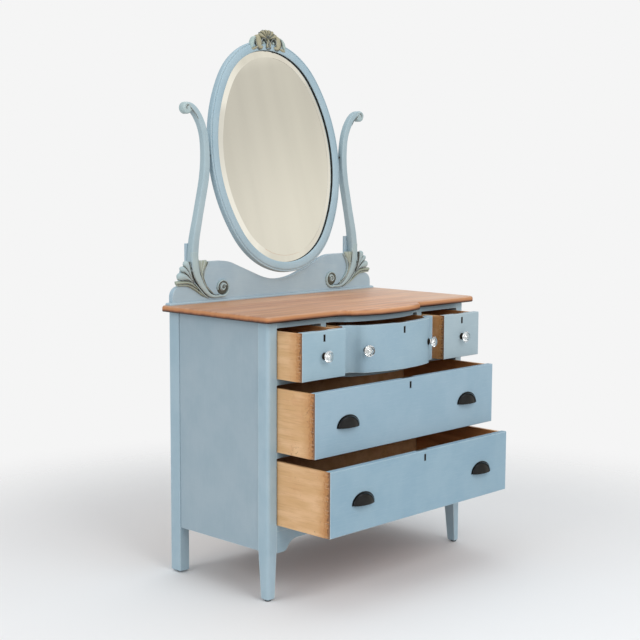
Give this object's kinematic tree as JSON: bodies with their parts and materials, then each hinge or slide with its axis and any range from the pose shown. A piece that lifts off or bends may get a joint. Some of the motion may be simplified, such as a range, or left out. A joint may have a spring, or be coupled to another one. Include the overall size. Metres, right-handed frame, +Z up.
{
  "type": "dresser with mirror",
  "caption": "Low chest of drawers with a serpentine top drawer, short legs and an oval mirror tilting between scrolled standards",
  "frame": {"origin": "bottom centre of the outline with the drawers standing open and the mirror tilted", "axes": "+Z up, -Y out of the drawer fronts, +X to the right seen from the front"},
  "size_m": [1.025, 0.7833, 1.8358],
  "materials": {
    "painted_wood": "dusty blue-grey chalk paint, worn at the edges",
    "oiled_wood": "oiled oak",
    "raw_wood": "unfinished pine",
    "drawer_wood": "bare, aged",
    "mirror": "bevelled plate",
    "clear_glass": "pressed, faceted",
    "black_metal": "black, satin",
    "dark_brass": "aged",
    "lock_steel": "dull",
    "glide_plastic": "dark"
  },
  "bodies": {
    "case": {"apron": "painted_wood", "back_panel": "raw_wood", "back_rails": "raw_wood", "base_board": "painted_wood", "bottom_rail": "painted_wood", "carved_fans": "painted_wood", "dividers": "painted_wood", "drawer_runners": "raw_wood", "floor_glides": "glide_plastic", "lower_rail": "painted_wood", "mirror_battens": "raw_wood", "post_front_left": "painted_wood", "post_front_right": "painted_wood", "post_rear_left": "painted_wood", "post_rear_right": "painted_wood", "side_panel_left": "painted_wood", "side_panel_right": "painted_wood", "standard_left": "painted_wood", "standard_right": "painted_wood", "top_board": "oiled_wood", "top_rail": "painted_wood", "upper_rail": "painted_wood"},
    "mirror": {"mirror_backboard": "raw_wood", "mirror_crown": "painted_wood", "mirror_frame": "painted_wood", "mirror_glass": "mirror", "mirror_pivot_pins": "dark_brass"},
    "drawer_left": {"drawer_left_bottom": "drawer_wood", "drawer_left_front": "painted_wood", "drawer_left_knob_base": "dark_brass", "drawer_left_knob_glass": "clear_glass", "drawer_left_lock": "lock_steel", "drawer_left_sides": "drawer_wood"},
    "lock_bolt_left": {"drawer_left_lock_bolt": "lock_steel"},
    "drawer_centre": {"drawer_centre_bottom": "drawer_wood", "drawer_centre_front": "painted_wood", "drawer_centre_knob_base": "dark_brass", "drawer_centre_knob_glass": "clear_glass", "drawer_centre_lock": "lock_steel", "drawer_centre_sides": "drawer_wood"},
    "lock_bolt_centre": {"drawer_centre_lock_bolt": "lock_steel"},
    "drawer_right": {"drawer_right_bottom": "drawer_wood", "drawer_right_front": "painted_wood", "drawer_right_knob_base": "dark_brass", "drawer_right_knob_glass": "clear_glass", "drawer_right_lock": "lock_steel", "drawer_right_sides": "drawer_wood"},
    "lock_bolt_right": {"drawer_right_lock_bolt": "lock_steel"},
    "drawer_middle": {"drawer_middle_bottom": "drawer_wood", "drawer_middle_front": "painted_wood", "drawer_middle_lock": "lock_steel", "drawer_middle_pulls": "black_metal", "drawer_middle_sides": "drawer_wood"},
    "lock_bolt_middle": {"drawer_middle_lock_bolt": "lock_steel"},
    "drawer_bottom": {"drawer_bottom_bottom": "drawer_wood", "drawer_bottom_front": "painted_wood", "drawer_bottom_lock": "lock_steel", "drawer_bottom_pulls": "black_metal", "drawer_bottom_sides": "drawer_wood"},
    "lock_bolt_bottom": {"drawer_bottom_lock_bolt": "lock_steel"}
  },
  "joints": [
    {"name": "slide_drawer_left", "type": "slide", "parent": "case", "child": "drawer_left", "axis": [0, -1, 0], "range_m": [-0.11, 0.23]},
    {"name": "slide_drawer_centre", "type": "slide", "parent": "case", "child": "drawer_centre", "axis": [0, -1, 0], "range_m": [-0.07, 0.27]},
    {"name": "slide_drawer_right", "type": "slide", "parent": "case", "child": "drawer_right", "axis": [0, -1, 0], "range_m": [-0.101, 0.239]},
    {"name": "slide_drawer_middle", "type": "slide", "parent": "case", "child": "drawer_middle", "axis": [0, -1, 0], "range_m": [-0.165, 0.175]},
    {"name": "slide_drawer_bottom", "type": "slide", "parent": "case", "child": "drawer_bottom", "axis": [0, -1, 0], "range_m": [-0.23, 0.11]},
    {"name": "slide_lock_bolt_left", "type": "slide", "parent": "drawer_left", "child": "lock_bolt_left", "axis": [0, 0, 1], "range_m": [0, 0.01]},
    {"name": "slide_lock_bolt_centre", "type": "slide", "parent": "drawer_centre", "child": "lock_bolt_centre", "axis": [0, 0, 1], "range_m": [0, 0.01]},
    {"name": "slide_lock_bolt_right", "type": "slide", "parent": "drawer_right", "child": "lock_bolt_right", "axis": [0, 0, 1], "range_m": [0, 0.01]},
    {"name": "slide_lock_bolt_middle", "type": "slide", "parent": "drawer_middle", "child": "lock_bolt_middle", "axis": [0, 0, 1], "range_m": [0, 0.01]},
    {"name": "slide_lock_bolt_bottom", "type": "slide", "parent": "drawer_bottom", "child": "lock_bolt_bottom", "axis": [0, 0, 1], "range_m": [0, 0.01]},
    {"name": "tilt_mirror", "type": "hinge", "parent": "case", "child": "mirror", "pos_m": [0, 0.32319, 1.391], "axis": [1, 0, 0], "range_deg": [-12, 28]}
  ]
}
